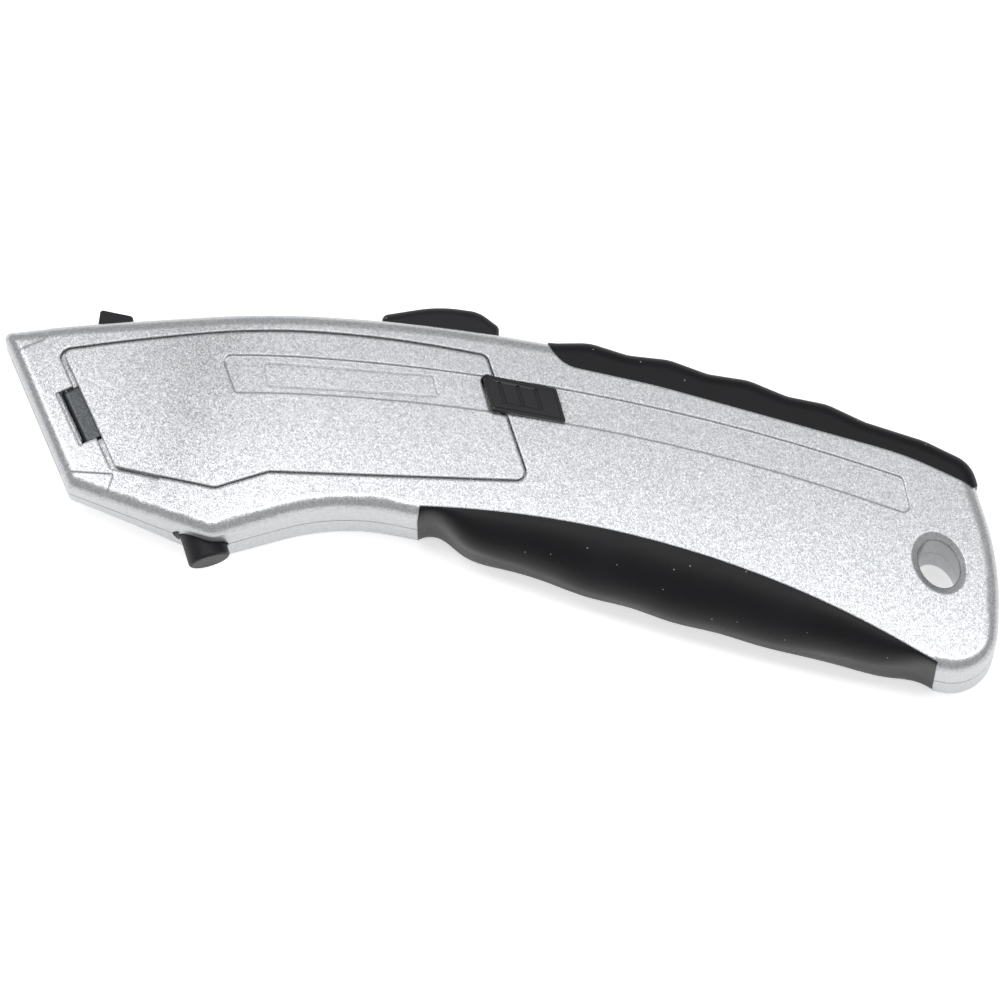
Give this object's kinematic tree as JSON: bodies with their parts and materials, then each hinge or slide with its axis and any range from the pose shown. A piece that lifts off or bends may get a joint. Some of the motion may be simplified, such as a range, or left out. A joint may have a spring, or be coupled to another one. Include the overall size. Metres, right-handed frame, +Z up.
{
  "type": "utility knife",
  "caption": "Retractable utility knife with cast shells, rubber grips, thumb slider, hinged side door over spare blades, door latch, blade change button and nose release tab.",
  "frame": {"origin": "on the flat back face that the knife rests on, under its mid-length between nose and tail, level with the middle of the handle's side", "axes": "+X from nose to tail, +Y from belly to spine (thumb slider side), +Z up from the back face to the door face"},
  "size_m": [0.177, 0.0539, 0.0198],
  "materials": {
    "silver_paint": "fine metallic silver paint on cast zinc",
    "soft_rubber": "satin moulded rubber",
    "black_plastic": "finely textured moulded plastic",
    "zinc_steel": "zinc-plated steel",
    "spring_steel": "bright spring steel",
    "blade_steel": "ground tool steel",
    "cast_zinc": "bare cast zinc"
  },
  "bodies": {
    "root": {"lower_shell": "silver_paint", "upper_shell": "silver_paint", "upper_grip": "soft_rubber", "lower_grip": "soft_rubber", "body_screws": "zinc_steel", "detent_rail": "black_plastic", "nose_wear_plate": "zinc_steel", "magazine_tray": "zinc_steel", "spare_blades": "blade_steel", "door_hinge_pin": "zinc_steel", "door_catch_spring": "spring_steel", "latch_detent_spring": "spring_steel", "button_spring": "spring_steel", "tab_pin": "zinc_steel", "tab_spring": "spring_steel"},
    "carriage": {"blade_carrier": "cast_zinc", "blade_retainer": "zinc_steel", "blade": "blade_steel", "carrier_rivets": "zinc_steel", "slider_spring": "spring_steel"},
    "slider": {"thumb_slider": "black_plastic"},
    "door": {"side_door": "silver_paint", "door_pad": "black_plastic"},
    "latch": {"latch_pad": "black_plastic", "latch_plate": "zinc_steel"},
    "button": {"change_button": "black_plastic", "button_plunger": "zinc_steel"},
    "tab": {"blade_release_tab": "black_plastic"}
  },
  "joints": [
    {"name": "blade_slide", "type": "slide", "parent": "root", "child": "carriage", "axis": [-0.9903, -0.1392, 0], "range_m": [0, 0.025]},
    {"name": "slider_press", "type": "slide", "parent": "carriage", "child": "slider", "axis": [0.1392, -0.9903, 0], "range_m": [0, 0.0006], "stiffness_N_per_m": 800, "deforming": ["slider_spring"]},
    {"name": "door_swing", "type": "hinge", "parent": "root", "child": "door", "pos_m": [-0.07339, -0.00287, 0.01295], "axis": [0.6088, -0.7934, 0], "range_deg": [0, 85]},
    {"name": "latch_slide", "type": "slide", "parent": "root", "child": "latch", "axis": [0.999, 0.0454, 0], "range_m": [0, 0.006]},
    {"name": "button_press", "type": "slide", "parent": "root", "child": "button", "axis": [-0.5, 0.866, 0], "range_m": [0, 0.0025], "stiffness_N_per_m": 600, "deforming": ["button_spring"]},
    {"name": "tab_press", "type": "hinge", "parent": "root", "child": "tab", "pos_m": [-0.0635, 0.01349, 0.0092], "axis": [0, 0, 1], "range_deg": [0, 5], "stiffness_Nm_per_rad": 0.05, "deforming": ["tab_spring"]}
  ]
}
